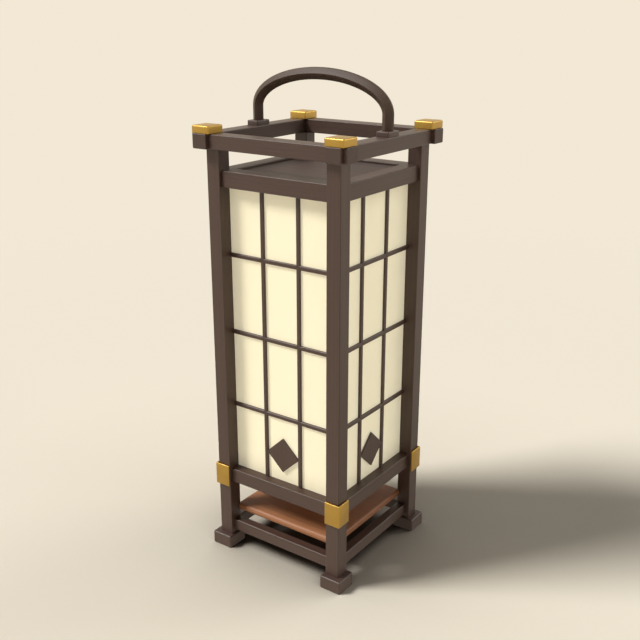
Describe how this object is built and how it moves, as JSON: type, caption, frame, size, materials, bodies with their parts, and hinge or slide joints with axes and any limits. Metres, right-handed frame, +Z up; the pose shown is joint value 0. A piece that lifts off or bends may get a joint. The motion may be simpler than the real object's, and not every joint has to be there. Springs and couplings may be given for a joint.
{
  "type": "andon floor lamp",
  "caption": "Square paper lantern in a dark wood frame on feet, with brass corners, an open shelf, a lift-out lid and an arched carrying handle.",
  "frame": {"origin": "on the floor, at the centre of the feet", "axes": "+Z up; the front is -Y and the right is +X; the handle's arch lies in the XZ plane"},
  "size_m": [0.2534, 0.2534, 0.7205],
  "materials": {
    "frame_wood": "satin",
    "lattice_wood": "satin",
    "lid_wood": "satin",
    "tray_wood": "satin",
    "board_wood": "matt",
    "brass": "satin",
    "paper": "matt",
    "porcelain": "gloss",
    "steel": "satin",
    "rubber": "matt",
    "white_plastic": "matt",
    "frosted_globe": "matt"
  },
  "bodies": {
    "frame": {"post_front_right": "frame_wood", "post_back_right": "frame_wood", "post_back_left": "frame_wood", "post_front_left": "frame_wood", "foot_front_right": "frame_wood", "foot_back_right": "frame_wood", "foot_back_left": "frame_wood", "foot_front_left": "frame_wood", "stretcher_front": "frame_wood", "stretcher_right": "frame_wood", "stretcher_back": "frame_wood", "stretcher_left": "frame_wood", "lower_rail_front": "frame_wood", "lower_rail_right": "frame_wood", "lower_rail_back": "frame_wood", "lower_rail_left": "frame_wood", "upper_rail_front": "frame_wood", "upper_rail_right": "frame_wood", "upper_rail_back": "frame_wood", "upper_rail_left": "frame_wood", "top_rail_front": "frame_wood", "top_rail_right": "frame_wood", "top_rail_back": "frame_wood", "top_rail_left": "frame_wood", "handle": "frame_wood", "handle_block_left": "frame_wood", "handle_block_right": "frame_wood", "kumiko_front": "lattice_wood", "kumiko_right": "lattice_wood", "kumiko_back": "lattice_wood", "kumiko_left": "lattice_wood", "lozenge_front": "lattice_wood", "lozenge_right": "lattice_wood", "lozenge_back": "lattice_wood", "lozenge_left": "lattice_wood", "lid_cleats": "lid_wood", "tray_board": "tray_wood", "lamp_board": "board_wood", "corner_plate_front_right": "brass", "corner_plate_back_right": "brass", "corner_plate_back_left": "brass", "corner_plate_front_left": "brass", "top_cap_front_right": "brass", "top_cap_back_right": "brass", "top_cap_back_left": "brass", "top_cap_front_left": "brass", "lampholder_shell": "brass", "lampholder_contact": "brass", "paper_front": "paper", "paper_right": "paper", "paper_back": "paper", "paper_left": "paper", "lampholder_base": "porcelain", "lampholder_screws": "steel", "cable_grommet": "rubber"},
    "lid": {"lid": "lid_wood"},
    "bulb": {"bulb_cap": "steel", "bulb_neck": "white_plastic", "bulb_globe": "frosted_globe"}
  },
  "joints": [
    {"name": "lid_lift", "type": "slide", "parent": "frame", "child": "lid", "axis": [0, 0, 1], "range_m": [0, 0.09]},
    {"name": "bulb_draw", "type": "slide", "parent": "frame", "child": "bulb", "axis": [0, 0, 1], "range_m": [0, 0.03]}
  ]
}
